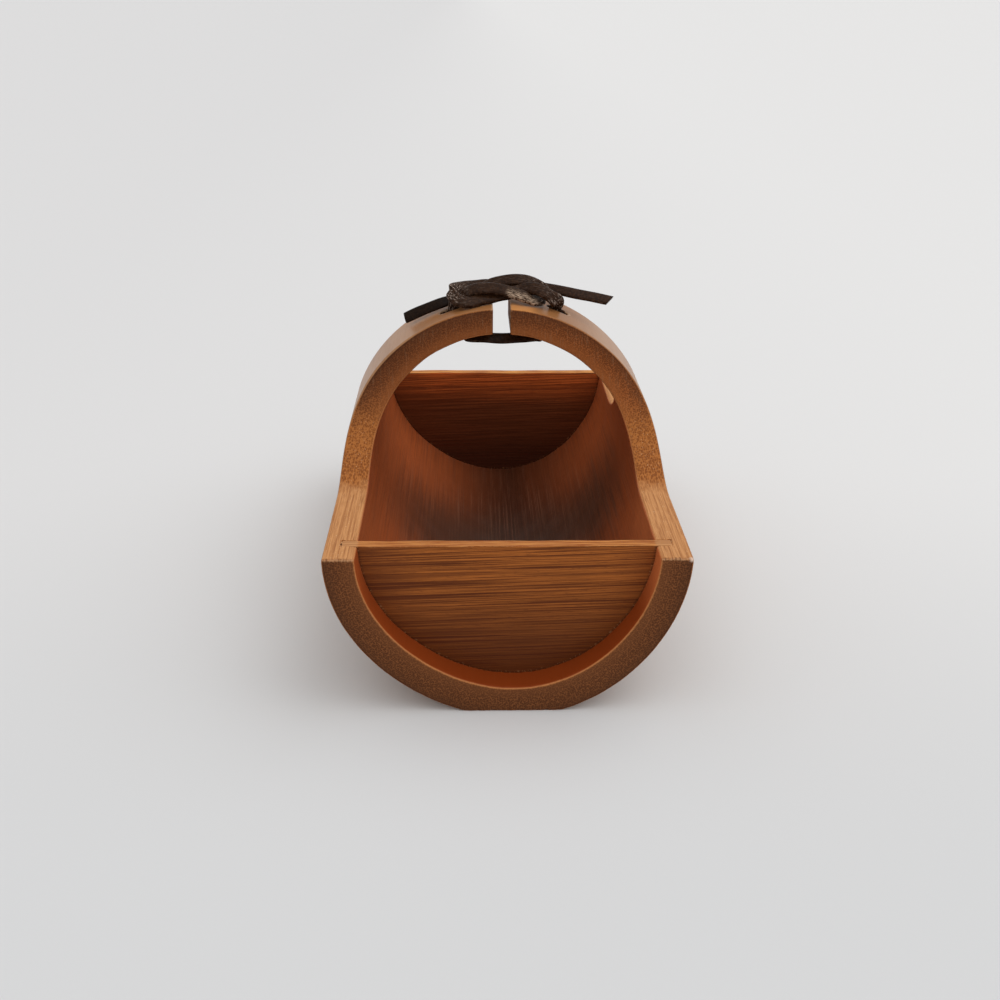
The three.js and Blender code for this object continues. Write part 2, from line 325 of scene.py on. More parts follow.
def slot_distance(slot, x, y, z):
    """Positive inside a slot with round ends, cut square through the arch."""
    angle = slot["around"] / CULM_RADIUS
    across, rise = x - SECTION_X, z - AXIS_HEIGHT
    along_slot = across * math.cos(angle) - rise * math.sin(angle)
    out = across * math.sin(angle) + rise * math.cos(angle)
    beyond = np.maximum(np.abs(along_slot) - SLOT_DRESSED_RUN / 2, 0)
    inside = SLOT_DRESSED_WIDTH / 2 - np.hypot(beyond, y - slot["along"])
    return np.minimum(inside, out - CULM_RADIUS / 2)


def holes_distance(x, y, z):
    """Positive inside the slit and the two slots of the arch."""
    slit = np.minimum(SLIT_WIDTH / 2 - np.abs(x - SECTION_X - SLIT_OFFSET), z - AXIS_HEIGHT)
    left, right = (slot_distance(slot, x, y, z) for slot in (LEFT_SLOT, RIGHT_SLOT))
    return np.maximum(slit, np.maximum(left, right))


def culm_distance(x, y, z):
    radius, angle = polar(x, z)
    bore_radius = bore(angle)
    skin_radius = bore_radius + WALL - BORE_RISE * np.sin(angle)
    shoulder = SHOULDER_RISE * hump(angle, SHOULDER_TURN, SHOULDER_REACH)
    depth, pitch = BORE_WANDER
    in_bore = bore_radius - radius + depth * waves(x, y, z, pitch, BORE_WANDER_TURN)
    groove = np.minimum(
        bore_radius + GROOVE_DEPTH - radius,
        BOARD_THICKNESS / 2 - BOARD_BITE - np.abs(np.abs(y) - BOARD_PLACE),
    )
    body = smooth_max(radius - skin_radius - shoulder, rim_distance(x, y, z), OUTER_EDGE)
    body = smooth_max(body, ends_distance(x, y, z), OUTER_EDGE)
    body = smooth_max(body, in_bore, INNER_EDGE)
    body = smooth_max(body, -z, CUT_EDGE)
    body = smooth_max(body, groove, GROOVE_EDGE)
    return smooth_max(body, holes_distance(x, y, z), CUT_EDGE)


def board_distance(place):
    """The distance of the board whose middle is at that place along the culm."""
    rise = REAR_BOARD_RISE * (place > 0)

    def distance(x, y, z):
        radius, angle = polar(x, z)
        round_edge = radius - bore(angle) - GROOVE_DEPTH - BOARD_BITE
        top = side_distance(y, z) + BOARD_TOP_DROP + waver(x, *BOARD_TOP_WAVER) - rise
        in_rim = np.clip(radius - bore(angle), 0, 1)
        top += in_rim * (rim_distance(x, y, z) + BOARD_END_DROP - top)
        face = np.abs(y - place) - BOARD_THICKNESS / 2
        return smooth_max(smooth_max(round_edge, top, BOARD_EDGE), face, BOARD_EDGE)

    return distance


def gradient(distance, place):
    """Slope of a distance at each place."""
    parts = []
    for axis in range(3):
        shift = np.zeros(3)
        shift[axis] = SMALL_SHIFT
        parts.append(distance(*(place + shift).T) - distance(*(place - shift).T))
    return np.stack(parts, axis=1) / (2 * SMALL_SHIFT)


def sample(distance, grid, cell):
    """The distance at each grid point. A block whose middle is far from the surface takes the
    one value throughout."""
    field = np.empty([len(g) for g in grid], np.float32)
    for start in np.ndindex(*(math.ceil(len(g) / BLOCK) for g in grid)):
        part = tuple(slice(BLOCK * i, BLOCK * (i + 1)) for i in start)
        axes = [g[p] for g, p in zip(grid, part)]
        middle = distance(*(a.mean() for a in axes))
        if abs(middle) > cell * BLOCK:
            field[part] = middle
        else:
            field[part] = distance(*np.meshgrid(*axes, indexing="ij"))
    return field


def at_corner(values, corner):
    """The values at one corner of every grid cell."""
    return values[tuple(slice(c, c + n - 1) for c, n in zip(corner, values.shape))]


def cell_points(field, mixed):
    """In each cell that the zero level passes through, the mean of its edges' crossings."""
    values = {corner: at_corner(field, corner)[mixed] for corner in CORNERS}
    total = np.zeros((mixed.sum(), 3))
    crossings = np.zeros(mixed.sum())
    for a in CORNERS:
        for axis in range(3):
            if a[axis] == 0:
                b = tuple(1 if i == axis else c for i, c in enumerate(a))
                crossed = (values[a] < 0) != (values[b] < 0)
                share = values[a] / np.where(crossed, values[a] - values[b], 1)
                point = np.tile(np.array(a, float), (len(share), 1))
                point[:, axis] += share
                total += point * crossed[:, None]
                crossings += crossed
    return np.argwhere(mixed) + total / crossings[:, None]


def cell_quads(inside, number):
    """A quad facing outwards round each grid edge that the zero level crosses."""
    quads = []
    for axis in range(3):
        u, v = (axis + 1) % 3, (axis + 2) % 3
        here = [slice(1, -1)] * 3
        here[axis] = slice(0, -1)
        there = list(here)
        there[axis] = slice(1, None)
        near, far = inside[tuple(here)], inside[tuple(there)]
        edge = np.argwhere(near != far)
        outward = near[tuple(edge.T)]
        edge += [0 if i == axis else 1 for i in range(3)]
        ring = []
        for du, dv in ((1, 1), (0, 1), (0, 0), (1, 0)):
            cell_of = edge.copy()
            cell_of[:, u] -= du
            cell_of[:, v] -= dv
            ring.append(number[tuple(cell_of.T)])
        ring = np.stack(ring, axis=1)
        quads.append(np.where(outward[:, None], ring, ring[:, ::-1]))
    return np.concatenate(quads)


def surface(distance, low, high, cell):
    """A closed mesh of quads over the zero level of a distance: one vertex for each grid cell
    that the level passes through, moved onto the level along the gradient."""
    grid = [np.arange(a, b + cell, cell) for a, b in zip(low, high)]
    field = sample(distance, grid, cell)
    inside = field < 0
    count = sum(at_corner(inside, corner).astype(np.uint8) for corner in CORNERS)
    mixed = (count > 0) & (count < len(CORNERS))
    number = np.full(mixed.shape, -1, np.int32)
    number[mixed] = np.arange(mixed.sum())
    place = np.array(low) + cell * cell_points(field, mixed)
    for _ in range(SETTLE_STEPS):
        slope = gradient(distance, place)
        size = np.maximum((slope * slope).sum(axis=1), LEAST_SLOPE)
        place -= (distance(*place.T) / size)[:, None] * slope
    return place, cell_quads(inside, number)


def mesh_piece(name, node, place, quads, fields, normals=None):
    """A closed mesh that stands for a node, with its point values and normals."""
    mesh = bpy.data.meshes.new(name)
    mesh.vertices.add(len(place))
    mesh.vertices.foreach_set("co", (place * MM).astype(np.float32).ravel())
    mesh.loops.add(quads.size)
    mesh.loops.foreach_set("vertex_index", quads.astype(np.int32).ravel())
    mesh.polygons.add(len(quads))
    mesh.polygons.foreach_set("loop_start", np.arange(0, quads.size, 4, dtype=np.int32))
    mesh.polygons.foreach_set("use_smooth", np.ones(len(quads), bool))
    mesh.update(calc_edges=True)
    mesh.validate()
    for field, values in fields.items():
        attribute = mesh.attributes.new(field, "FLOAT_VECTOR", "POINT")
        attribute.data.foreach_set("vector", values.astype(np.float32).ravel())
    if normals is not None:
        mesh.normals_split_custom_set_from_vertices(normals.tolist())
    piece = add_object(name, mesh)
    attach(piece, "root")
    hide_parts(node)
    return piece


def fibre_field(place):
    """Around the culm from its lowest line, depth under the skin, and height above the bore."""
    radius, angle = polar(place[:, 0], place[:, 2])
    across, rise = place[:, 0] - SECTION_X, place[:, 2] - AXIS_HEIGHT
    around = np.arctan2(across, -rise) * CULM_RADIUS
    return np.stack([around, skin(angle) - radius, radius - bore(angle)], axis=1)


def cut_field(place):
    """How far past the side view and the ends, and how far inside the slit and slots."""
    x, y, z = place.T
    distances = side_distance(y, z), ends_distance(x, y, z), holes_distance(x, y, z)
    return np.stack(distances, axis=1)


def make_surface_piece(name, node, distance, low, high, cell):
    place, quads = surface(distance, low, high, cell)
    normals = gradient(distance, place)
    normals /= np.linalg.norm(normals, axis=1)[:, None]
    fields = {"fibre": fibre_field(place), "cut": cut_field(place)}
    return mesh_piece(name, node, place, quads, fields, normals)


def make_culm():
    reach = CULM_RADIUS + MARGIN
    low = (-reach, -HALF_LENGTH - MARGIN, -MARGIN)
    high = (reach, HALF_LENGTH + MARGIN, AXIS_HEIGHT + reach)
    return make_surface_piece(
        "culm", "bamboo_culm", culm_distance, low, high, CULM_CELL
    )


def make_board(name, node, place):
    half = BOARD_THICKNESS / 2 + MARGIN
    low = (-CULM_RADIUS, place - half, -MARGIN)
    high = (CULM_RADIUS, place + half, RIM_HEIGHT + MARGIN)
    return make_surface_piece(
        name, node, board_distance(place), low, high, BOARD_CELL
    )


def around_culm(angle, radius, along):
    """A place at an angle from +Z towards +X around the culm's axis."""
    return np.array([
        SECTION_X + radius * math.sin(angle),
        along,
        AXIS_HEIGHT + radius * math.cos(angle),
    ])


def lace_rows():
    """Places along the lace's route and the direction in which it is broad at each."""
    rows = []

    def add(route):
        for around, along, out, *broad in route:
            angle = around * STEP / CULM_RADIUS
            place = around_culm(angle, CULM_RADIUS + out * STEP, along * STEP)
            rows.append((place, np.array(broad)))

    def add_slot(slot, outs, side):
        angle = slot["around"] / CULM_RADIUS
        across = np.array([math.cos(angle), 0, -math.sin(angle)])
        for out in outs:
            place = around_culm(angle, CULM_RADIUS + out * STEP, slot["along"])
            rows.append((place + slot["slip"] * LACE_WIDTH * across, side * across))

    add(TAIL_AND_HUMP)
    add_slot(LEFT_SLOT, SLOT_OUT, 1)
    add(UNDER)
    add_slot(RIGHT_SLOT, SLOT_OUT[::-1], -1)
    add(WRAP_AND_TAIL)
    places = np.array([place for place, _ in rows])
    broads = np.array([broad / np.linalg.norm(broad) for _, broad in rows])
    return places, broads


def spline(points, centripetal):
    """Catmull-Rom through the points, with its direction at each step."""
    first, last = 2 * points[0] - points[1], 2 * points[-1] - points[-2]
    points = np.concatenate([[first], points, [last]])
    out, ahead = [], []
    for a, b, c, d in zip(points, points[1:], points[2:], points[3:]):
        if centripetal:
            s, t, u = (math.sqrt(np.linalg.norm(q - p)) for p, q in ((a, b), (b, c), (c, d)))
            m = ((b - a) / s - (c - a) / (s + t) + (c - b) / t) * t
            n = ((c - b) / t - (d - b) / (t + u) + (d - c) / u) * t
        else:
            m, n = (c - a) / 2, (d - b) / 2
        for i in range(LACE_STEPS):
            w = i / LACE_STEPS
            c2, c3 = -3 * b + 3 * c - 2 * m - n, 2 * b - 2 * c + m + n
            out.append(b + w * (m + w * (c2 + w * c3)))
            ahead.append(m + w * (2 * c2 + w * 3 * c3))
    out.append(points[-2])
    ahead.append(n)
    return np.array(out), np.array(ahead)


def lace_path():
    """The lace's middle, with its direction, its broad direction and the run to each place."""
    places, broads = lace_rows()
    middle, ahead = spline(places, centripetal=True)
    broad, _ = spline(broads, centripetal=False)
    ahead /= np.linalg.norm(ahead, axis=1)[:, None]
    broad -= (broad * ahead).sum(axis=1)[:, None] * ahead
    broad /= np.linalg.norm(broad, axis=1)[:, None]
    run = np.concatenate([[0], np.cumsum(np.linalg.norm(np.diff(middle, axis=0), axis=1))])
    return middle, ahead, broad, run


def lace_section():
    """Places across and through the lace at each of its sides: an oblong with soft corners."""
    turn = 2 * np.pi * (np.arange(LACE_SIDES) + 0.5) / LACE_SIDES
    wide, thick = (
        np.sign(side) * np.abs(side) ** power * size / 2
        for side, power, size in (
            (np.cos(turn), WIDTH_POWER, DRESSED_WIDTH),
            (np.sin(turn), THICKNESS_POWER, DRESSED_THICKNESS),
        )
    )
    return wide, thick


def stretch(run, start, end, fade):
    """1 between two runs, fading inside both of them."""
    return np.clip((run - start) / fade, 0, 1) * np.clip((end - run) / fade, 0, 1)


def knot_share(run):
    return sum(stretch(run, start, end, KNOT_FADE) for start, end in KNOT_RUNS)


def lace_rings(middle, ahead, broad, run, wide, thick):
    """The section at each place: fuller in the knot, broader at a bend, slanted at the end."""
    face = np.cross(broad, ahead)
    in_knot = knot_share(run)
    broader = 1 + waver(run, *WIDTH_WAVER) + KNOT_BROADER * in_knot
    broader += BROAD_BEND * hump(run, BROAD_BEND_RUN, BROAD_BEND_REACH)
    thicker = 1 + KNOT_THICKER * in_knot
    slant = LAST_CUT_SLANT * np.clip(1 - (run[-1] - run) / LAST_CUT_REACH, 0, 1)
    rings = middle[:, None]
    for way, reach, share in (
        (broad, wide, broader),
        (face, thick, thicker),
        (ahead, wide, slant),
    ):
        rings = rings + way[:, None] * reach[None, :, None] * share[:, None, None]
    return rings


def strap_values(runs, wide):
    """For each point of the rings at these runs: its turn, its run and its place across."""
    turn = np.arange(LACE_SIDES) / LACE_SIDES
    columns = np.tile(turn, len(runs)), np.repeat(runs, LACE_SIDES), np.tile(wide, len(runs))
    return np.stack(columns, axis=1)


def wear_field(strap):
    """How cracked the lace is, how frayed, and how far it is in the knot."""
    run, wide = strap[:, 1], strap[:, 2]
    cracked = sum(hump(run, middle, reach) for middle, reach in CRACKED)
    frayed = stretch(run, *FRAYED, FRAYED_FADE)
    frayed = frayed * np.clip(FRAYED_MIDDLE - wide * FRAYED_SIDE, 0, 1)
    return np.stack([np.minimum(cracked, 1), frayed, knot_share(run)], axis=1)


def end_cap(ring, outline, middle, run, wide, start):
    """Rings that shrink towards the middle of an end, closed by a row of quads across it."""
    places, values, quads = [], [], []
    for share in CAP_SHARES:
        places.append(middle + share * (outline - middle))
        values.append(strap_values([run], wide * share))
        inner = start + np.arange(LACE_SIDES)
        start += LACE_SIDES
        sides = ring, np.roll(ring, -1), np.roll(inner, -1), inner
        quads.append(np.stack(sides, axis=-1))
        ring = inner
    quads.append(np.array([
        (ring[i], ring[i + 1], ring[-2 - i], ring[-1 - i]) for i in range(LACE_SIDES // 2 - 1)
    ]))
    return np.concatenate(places), np.concatenate(values), np.concatenate(quads)


def make_lace():
    middle, ahead, broad, run = lace_path()
    wide, thick = lace_section()
    rings = lace_rings(middle, ahead, broad, run, wide, thick)
    grid = np.arange(len(run) * LACE_SIDES).reshape(-1, LACE_SIDES)
    beside = np.roll(grid, -1, axis=1)
    place = rings.reshape(-1, 3)
    strap = strap_values(run, wide)
    quads = np.stack([grid[:-1], grid[1:], beside[1:], beside[:-1]], axis=-1).reshape(-1, 4)
    for end, order in ((0, 1), (-1, -1)):
        cap = end_cap(grid[end], rings[end], middle[end], run[end], wide, len(place))
        place = np.concatenate([place, cap[0]])
        strap = np.concatenate([strap, cap[1]])
        quads = np.concatenate([quads, cap[2][:, ::order]])
    fields = {"strap": strap, "wear": wear_field(strap)}
    return mesh_piece("lace", "leather_lace", place, quads, fields)


class Graph:
    """The nodes of a material or the world, written as calls that take and give sockets."""

    def __init__(self, owner):
        owner.use_nodes = True
        self.owner = owner
        self.tree = owner.node_tree
        self.tree.nodes.clear()

    def node(self, kind, inputs=(), **settings):
        made = self.tree.nodes.new("ShaderNode" + kind)
        for key, value in settings.items():
            setattr(made, key, value)
        for key, value in dict(inputs).items():
            self.put(made.inputs[key], value)
        return made

    def put(self, socket, value):
        if isinstance(value, bpy.types.NodeSocket):
            self.tree.links.new(value, socket)
        elif socket.type == "RGBA":
            socket.default_value = (*value, 1)
        else:
            socket.default_value = value

    def math(self, operation, *values):
        return self.node("Math", dict(enumerate(values)), operation=operation).outputs[0]

    def times(self, *values):
        product = values[0]
        for value in values[1:]:
            product = self.math("MULTIPLY", product, value)
        return product

    def plus(self, a, b):
        return self.math("ADD", a, b)

    def minus(self, a, b):
        return self.math("SUBTRACT", a, b)

    def size(self, value):
        return self.math("ABSOLUTE", value)

    def blend(self, share, a, b):
        """A number that goes from a to b with the share."""
        return self.math("MULTIPLY_ADD", share, self.minus(b, a), a)

    def split(self, vector):
        return self.node("SeparateXYZ", {0: vector}).outputs

    def join(self, x, y, z):
        return self.node("CombineXYZ", {0: x, 1: y, 2: z}).outputs[0]

    def field(self, name):
        return self.node("Attribute", attribute_name=name).outputs["Vector"]

    def place(self):
        """Where the surface is, in millimetres."""
        object_place = self.node("TexCoord").outputs["Object"]
        scaled = self.node("VectorMath", {0: object_place, "Scale": 1 / MM}, operation="SCALE")
        return scaled.outputs[0]

    def normal(self):
        return self.node("NewGeometry").outputs["Normal"]

    def noise(self, vector, scale, detail, roughness=0.5):
        inputs = {"Vector": vector, "Scale": scale, "Detail": detail, "Roughness": roughness}
        return self.node("TexNoise", inputs).outputs[0]

    def step(self, value, low, high):
        """0 at low, 1 at high, smooth between; low may be the larger."""
        if low > high:
            return self.minus(1.0, self.step(value, high, low))
        inputs = {0: value, 1: low, 2: high}
        return self.node("MapRange", inputs, interpolation_type="SMOOTHSTEP").outputs[0]

    def mix(self, share, a, b):
        """A colour that goes from a to b with the share. The Mix node has its colours at
        inputs 6 and 7 and at output 2."""
        made = self.node("Mix", {0: share}, data_type="RGBA")
        for key, value in ((6, a), (7, b)):
            self.put(made.inputs[key], value)
        return made.outputs[2]

    def over(self, color, tint, *shares, amount=1.0):
        """A colour with a tint laid over it, by the product of the shares and the amount."""
        return self.mix(self.times(*shares, amount), color, tint)

    def bump(self, height, distance, strength=1.0):
        inputs = {"Height": height, "Distance": distance * MM, "Strength": strength}
        return self.node("Bump", inputs).outputs[0]

    def finish(self, color, roughness, normal, specular, settings=()):
        inputs = {"Base Color": color, "Roughness": roughness, "Normal": normal,
                  "Specular IOR Level": specular, **dict(settings)}
        shader = self.node("BsdfPrincipled", inputs)
        self.node("OutputMaterial", {0: shader.outputs[0]})
        return self.owner


# Bamboo, where it is cut: the light and the dark tone of each kind of surface, and its marks
RIM_TONES = ((0.60, 0.285, 0.113), (0.40, 0.165, 0.059))
SWEEP_TONES = ((0.43, 0.152, 0.038), (0.23, 0.070, 0.017))
END_TONES = ((0.222, 0.078, 0.0270), (0.094, 0.032, 0.0120))
LEFT_ARCH_TONES = ((0.25, 0.078, 0.0250), (0.12, 0.037, 0.0120))
RIGHT_ARCH_TONES = ((0.35, 0.102, 0.028), (0.17, 0.050, 0.014))
PORE = (0.22, 0.075, 0.028)
FLECK = (0.82, 0.56, 0.33)
FACE_BY_BORE = (0.38, 0.120, 0.033)
FACE_BY_SKIN = (0.075, 0.029, 0.0135)
SAW_MARK = (0.40, 0.22, 0.12)

# Bamboo, at its edges
EDGE_BY_SKIN = (0.06, 0.02, 0.009)
# Pale line by the bore: partly wear, partly painted highlight
EDGE_BY_BORE = (0.52, 0.20, 0.070)
RIM_END = (0.56, 0.30, 0.15)
RIM_END_TOOTH = (0.10, 0.035, 0.014)
CORNER_CHIP = (0.78, 0.58, 0.46)

# Bamboo, on its skin
SKIN_TONES = ((0.32, 0.147, 0.064), (0.45, 0.238, 0.113))
SKIN_STAIN = (0.22, 0.10, 0.05)
CROWN_TONE = (0.30, 0.122, 0.038)
# Painted light on the crown under the knot
UNDER_KNOT_LIGHT = (0.62, 0.255, 0.068)

# Bamboo, in its bore
BORE_TONES = ((0.044, 0.0120, 0.0045), (0.405, 0.094, 0.026))
# Painted shade that the arch casts into the bore
ARCH_SHADOW_TONE = (0.051, 0.026, 0.0145)
BORE_STREAK = (0.08, 0.024, 0.012)
BORE_BAND = (0.040, 0.024, 0.015)
BORE_LINE = (0.36, 0.17, 0.10)
LEDGE_TONE = (0.26, 0.044, 0.0070)
FRONT_WALL = (0.78, 0.23, 0.075)

# Where the bore is darkest around the culm, how far beside that its band is, and the middle of
# the arch's shade along it
BORE_DARKEST = 9.0
BAND_ASIDE = 52
ARCH_SHADE = 3.0

# Marks where the front board's ends meet the rim: place beside the middle, along, and radius
CAP_MARK = (51.9, -87.5, 1.1)
CAP_TONE = (0.80, 0.56, 0.34)
PINHOLE_MARK = (52.4, -88.9, 0.95)
PINHOLE_TONE = (0.05, 0.018, 0.009)

# Slit and slots: painted shade inside them, and marks along their edges
SLIT_SHADE = (0.07, 0.025, 0.01)
SLOT_SHADE = (0.016, 0.007, 0.005)
SLOT_DARK_RIM = (0.020, 0.009, 0.006)
SLOT_CHIP = (0.60, 0.40, 0.25)

# Places on the culm where a look comes in, from none to full
ARCH_FOOT = (60, 76)
CROWN = (98, 109)
LEDGE = (87, 88.5)
RIM_TOP = (54, 55.4)
JUST_UNDER = (0.35, 0.12)
LEFT_TO_RIGHT = (-5, 5)
SLOT_CHIPPED_SIDE = (23.4, 24.6)
SLOT_DARK_RIM_SIDE = (24.4, 23.4)

# How far a surface is turned towards the culm's ends: a sweep of the arch, or a flat face
ON_SWEEP = (0.06, 0.34)
ON_FACE = (0.75, 0.995)

# Share of an edge's reach within which its look is full
FULL_SHARE = 0.35

BAMBOO_SPECULAR = 0.06
CUT_ROUGHNESS = 0.6
BORE_ROUGHNESS = 0.4
SKIN_ROUGHNESS = 0.34
COAT = 0.22
CROWN_COAT = 0.08
LEDGE_COAT = 0.06
COAT_ROUGHNESS = 0.3


class CulmGraph(Graph):
    """The culm's nodes, with the values that its parts share."""

    def __init__(self):
        super().__init__(bpy.data.materials.new("bamboo"))
        self.around, self.depth, self.height = self.split(self.field("fibre"))
        self.side, self.end, self.hole = self.split(self.field("cut"))
        place = self.place()
        self.x, self.along, self.z = self.split(place)
        self.ragged = self.minus(self.noise(place, scale=1.3, detail=3), 0.5)
        turned = self.size(self.split(self.normal())[1])
        self.sweep = self.step(turned, *ON_SWEEP)
        self.face = self.step(turned, *ON_FACE)
        self.crown = self.step(self.z, *CROWN)
        self.ledge = self.step(self.size(self.along), *LEDGE)
        self.to_right = self.step(self.x, *LEFT_TO_RIGHT)
        fibres = self.around, self.depth
        self.fine = self.grain(*fibres, pace=0.08, scale=2.6, detail=3, roughness=0.6)
        self.streaks = self.grain(*fibres, pace=0.02, scale=1.8, detail=4, roughness=0.6)
        # Fibre bundles that are cut across are round spots in loose rows
        rows = self.join(*fibres, self.times(self.along, 0.03))
        inputs = {"Vector": rows, "Scale": 1.55, "Randomness": 0.7}
        bundles = self.node("TexVoronoi", inputs).outputs["Distance"]
        self.dots = self.plus(bundles, self.times(self.minus(self.fine, 0.5), 0.75))

    def grain(self, across, depth, pace, scale, detail, roughness=0.5):
        """Noise drawn out along the culm, where it changes at a slower pace."""
        vector = self.join(across, depth, self.times(self.along, pace))
        return self.noise(vector, scale, detail, roughness)

    def near(self, a, b, reach, raggedness):
        """1 where two distances are both small, with a ragged border."""
        both = self.math("MAXIMUM", self.size(a), self.size(b))
        border = self.plus(both, self.times(self.ragged, raggedness))
        return self.step(border, reach, reach * FULL_SHARE)


def cut_color(g):
    """Spots where the fibre bundles are cut across, streaks where they are cut along."""
    spotted = g.step(g.dots, 0.74, 0.26)
    streaked = g.step(g.streaks, 0.62, 0.36)
    calm = g.times(g.face, g.step(g.height, 6, 0.5), 0.4)
    dark = g.times(g.blend(g.sweep, streaked, spotted), g.minus(1.0, calm))
    on_arch = g.step(g.z, *ARCH_FOOT)
    arch_right = g.step(g.x, 0, 34)
    tones = []
    for rim, sweep, end, left, right in zip(
        RIM_TONES, SWEEP_TONES, END_TONES, LEFT_ARCH_TONES, RIGHT_ARCH_TONES
    ):
        face = g.mix(on_arch, end, g.mix(arch_right, left, right))
        tones.append(g.mix(g.face, g.mix(g.sweep, rim, sweep), face))
    color = g.mix(dark, *tones)

    pores = g.grain(0.0, g.depth, pace=0.035, scale=2.4, detail=2)
    color = g.over(color, PORE, g.step(pores, 0.6, 0.68), g.minus(1.0, g.sweep), amount=0.55)
    flecks = g.grain(g.around, g.depth, pace=0.45, scale=3.0, detail=2)
    color = g.over(color, FLECK, g.step(flecks, 0.67, 0.73), g.minus(1.0, g.face), amount=0.6)
    arch_face = g.times(g.face, on_arch)
    color = g.over(color, FACE_BY_BORE, arch_face, g.step(g.height, 5.5, 0.5), amount=0.4)
    color = g.over(color, FACE_BY_SKIN, g.face, g.step(g.depth, 5.5, 0.5), amount=0.45)
    saw = g.noise(g.join(g.x, 0.0, g.times(g.z, 0.06)), scale=2.2, detail=3)
    return g.over(color, SAW_MARK, g.step(saw, 0.52, 0.72), arch_face, amount=0.22)


def edge_color(g, color):
    """Darker by the skin, paler by the bore with a line that is partly wear and partly painted
    highlight, and toothed and chipped where the rim ends.
    """
    cut = g.math("MAXIMUM", g.side, g.end)
    by_skin = g.near(cut, g.depth, reach=1.3, raggedness=0.8)
    color = g.over(color, EDGE_BY_SKIN, by_skin, g.face, amount=0.55)
    # Pale line along the bore's edge: partly wear, partly painted highlight
    by_bore = g.near(cut, g.height, reach=0.85, raggedness=0.5)
    color = g.over(color, EDGE_BY_BORE, by_bore, amount=0.85)
    by_end = g.near(g.side, g.end, reach=0.9, raggedness=1.2)
    color = g.over(color, RIM_END, by_end, amount=0.65)
    teeth = g.step(g.noise(g.join(g.x, 0.0, 0.0), scale=1.5, detail=2), 0.5, 0.6)
    toothed = g.near(g.side, g.end, reach=1.5, raggedness=1.2)
    color = g.over(color, RIM_END_TOOTH, teeth, toothed, amount=0.8)
    corner = g.near(g.side, g.end, reach=1.6, raggedness=1.0)
    outside = g.near(g.end, g.depth, reach=1.9, raggedness=1.0)
    return g.over(color, CORNER_CHIP, corner, outside, g.step(g.x, 0, 1), amount=0.9)


def skin_color(g):
    """Streaked and stained, browner on the crown, with painted light under the knot."""
    streaks = g.grain(g.around, 0.0, pace=0.03, scale=0.8, detail=4, roughness=0.6)
    color = g.mix(streaks, *SKIN_TONES)
    stains = g.grain(g.around, 0.0, pace=0.15, scale=0.11, detail=3, roughness=0.6)
    color = g.over(color, SKIN_STAIN, g.step(stains, 0.5, 0.7), amount=0.4)
    color = g.over(color, CROWN_TONE, g.crown, amount=0.85)
    # Painted light that lifts the knot's shade on the crown
    return g.over(color, UNDER_KNOT_LIGHT, g.crown, g.step(g.x, 1, 4), g.step(g.x, 14, 9), amount=0.7)


def bore_color(g):
    """Dark along the bottom, with painted shade under the arch, redder up the walls, with streaks
    along it.
    """
    streaks = g.grain(g.around, 0.0, pace=0.012, scale=1.5, detail=5, roughness=0.75)
    bands = g.grain(g.around, 0.0, pace=0.05, scale=0.085, detail=2)
    aside = g.size(g.minus(g.around, BORE_DARKEST))
    up_wall = g.plus(aside, g.times(g.minus(bands, 0.5), 14.0))
    up_wall = g.plus(up_wall, g.times(g.along, 0.12))
    color = g.mix(g.step(up_wall, 4, 80), *BORE_TONES)
    # Painted shade of the arch, fullest low in the trough and near the arch along the culm
    in_arch_shadow = g.step(g.size(g.minus(g.along, ARCH_SHADE)), 46, 2)
    color = g.over(color, ARCH_SHADOW_TONE, in_arch_shadow, g.step(up_wall, 95, 35), amount=0.7)
    color = g.over(color, BORE_STREAK, g.step(streaks, 0.58, 0.36), amount=0.45)

    band = g.times(g.step(g.size(g.minus(aside, BAND_ASIDE)), 30, 4), g.step(g.along, 60, 5))
    band = g.times(band, g.step(g.along, -45, -10), g.blend(g.step(streaks, 0.6, 0.4), 0.15, 0.5))
    color = g.over(color, BORE_BAND, band, g.blend(g.to_right, 0.6, 1.0))
    lines = g.grain(g.around, 0.0, pace=0.006, scale=2.6, detail=2, roughness=0.6)
    color = g.over(color, BORE_LINE, g.step(lines, 0.54, 0.66), g.blend(g.ledge, 0.22, 0.1))
    color = g.over(color, LEDGE_TONE, g.ledge, amount=0.85)
    front_wall = g.times(g.step(g.size(g.around), 62, 88), g.step(g.along, -28, -68))
    return g.over(color, FRONT_WALL, front_wall, g.blend(g.to_right, 0.1, 0.5))


def board_end_color(g, color):
    """A pale cap on each of the front board's ends, and a dark pinhole beside the left one."""
    beside = g.join(g.size(g.x), g.along, 0.0)

    def mark(x, y, radius):
        away = g.node("VectorMath", {0: beside, 1: (x, y, 0)}, operation="DISTANCE")
        in_mark = g.step(away.outputs["Value"], radius, radius * 0.5)
        return g.times(in_mark, g.step(g.z, *RIM_TOP))

    color = g.over(color, CAP_TONE, mark(*CAP_MARK), amount=0.7)
    return g.over(color, PINHOLE_TONE, mark(*PINHOLE_MARK), g.step(g.x, 0, -1))


